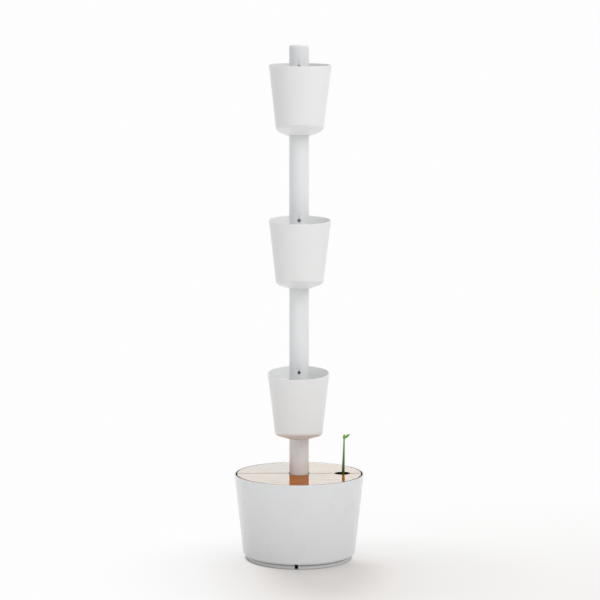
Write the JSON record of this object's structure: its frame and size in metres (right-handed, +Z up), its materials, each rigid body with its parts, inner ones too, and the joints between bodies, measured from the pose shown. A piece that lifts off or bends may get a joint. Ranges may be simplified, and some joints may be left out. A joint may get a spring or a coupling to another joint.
{
  "type": "self-watering tower planter",
  "caption": "White floor planter: a round water tub with a split plywood lid and a slim column that carries forward-leaning pots one above another.",
  "frame": {"origin": "centre of the footprint, on the floor under the column's axis", "axes": "+Z up along the column, -Y to the front where the pots stand out, +X to the viewer's right"},
  "size_m": [0.3308, 0.3308, 1.306],
  "materials": {
    "white_plastic": "satin gloss",
    "moulded_white_matt": "matt",
    "grey_plastic": "matt",
    "black_plastic": "matt",
    "green_plastic": "gloss",
    "plywood": "clear gloss lacquer",
    "rubber": "matt",
    "hose": "milky",
    "steel": "plated"
  },
  "bodies": {
    "base": {"cable_gland": "black_plastic", "cable_gland_nut": "black_plastic", "cable_notch_grommet": "rubber", "column_seals": "rubber", "column_socket": "moulded_white_matt", "column_socket_screws": "steel", "column_tube_base": "white_plastic", "column_tube_lower": "white_plastic", "column_tube_middle": "white_plastic", "column_tube_upper": "white_plastic", "coupler_lower": "moulded_white_matt", "coupler_middle": "moulded_white_matt", "coupler_upper": "moulded_white_matt", "drip_outlet_lower": "black_plastic", "drip_outlet_middle": "black_plastic", "drip_outlet_upper": "black_plastic", "foot_pads": "rubber", "foot_ring": "grey_plastic", "foot_ring_screws": "steel", "gauge_guide": "moulded_white_matt", "gauge_guide_cap": "moulded_white_matt", "hose_tee_lower": "moulded_white_matt", "hose_tee_middle": "moulded_white_matt", "hose_tee_upper": "moulded_white_matt", "pump_body": "black_plastic", "pump_cable_gland": "black_plastic", "pump_cover": "black_plastic", "pump_hose_clamp": "steel", "pump_impeller_shaft": "steel", "pump_suction_cups": "rubber", "riser_hose_lower": "hose", "riser_hose_middle": "hose", "riser_hose_upper": "hose", "tub": "white_plastic"},
    "pot_lower_body": {"pot_lower": "white_plastic", "drain_strainer_lower": "black_plastic"},
    "pot_middle_body": {"pot_middle": "white_plastic", "drain_strainer_middle": "black_plastic"},
    "pot_upper_body": {"pot_upper": "white_plastic", "drain_strainer_upper": "black_plastic"},
    "front_lid": {"lid_front": "plywood"},
    "back_lid": {"lid_back": "plywood"},
    "gauge": {"gauge_float": "moulded_white_matt", "gauge_rod": "moulded_white_matt", "gauge_sprout": "green_plastic"},
    "impeller": {"pump_impeller": "black_plastic"},
    "cap": {"top_cap": "white_plastic"}
  },
  "joints": [
    {"name": "pot_lower_swivel", "type": "hinge", "parent": "base", "child": "pot_lower_body", "pos_m": [0, 0, 0.3101], "axis": [0, 0, 1], "range_deg": [-48.2, 51.8]},
    {"name": "pot_middle_swivel", "type": "hinge", "parent": "base", "child": "pot_middle_body", "pos_m": [0, 0, 0.6954], "axis": [0, 0, 1], "range_deg": [-52.6, 47.4]},
    {"name": "pot_upper_swivel", "type": "hinge", "parent": "base", "child": "pot_upper_body", "pos_m": [0, 0, 1.0807], "axis": [0, 0, 1], "range_deg": [-53.3, 46.7]},
    {"name": "lid_front_lift", "type": "slide", "parent": "base", "child": "front_lid", "axis": [0, 0, 1], "range_m": [0, 0.07]},
    {"name": "lid_back_lift", "type": "slide", "parent": "base", "child": "back_lid", "axis": [0, 0, 1], "range_m": [0, 0.07]},
    {"name": "gauge_slide", "type": "slide", "parent": "base", "child": "gauge", "axis": [0, 0, 1], "range_m": [-0.075, 0.02]},
    {"name": "impeller_spin", "type": "hinge", "parent": "base", "child": "impeller", "pos_m": [-0.096, 0, 0.047], "axis": [0, 1, 0], "continuous": true},
    {"name": "cap_lift", "type": "slide", "parent": "base", "child": "cap", "axis": [0, 0, 1], "range_m": [0, 0.04]}
  ]
}
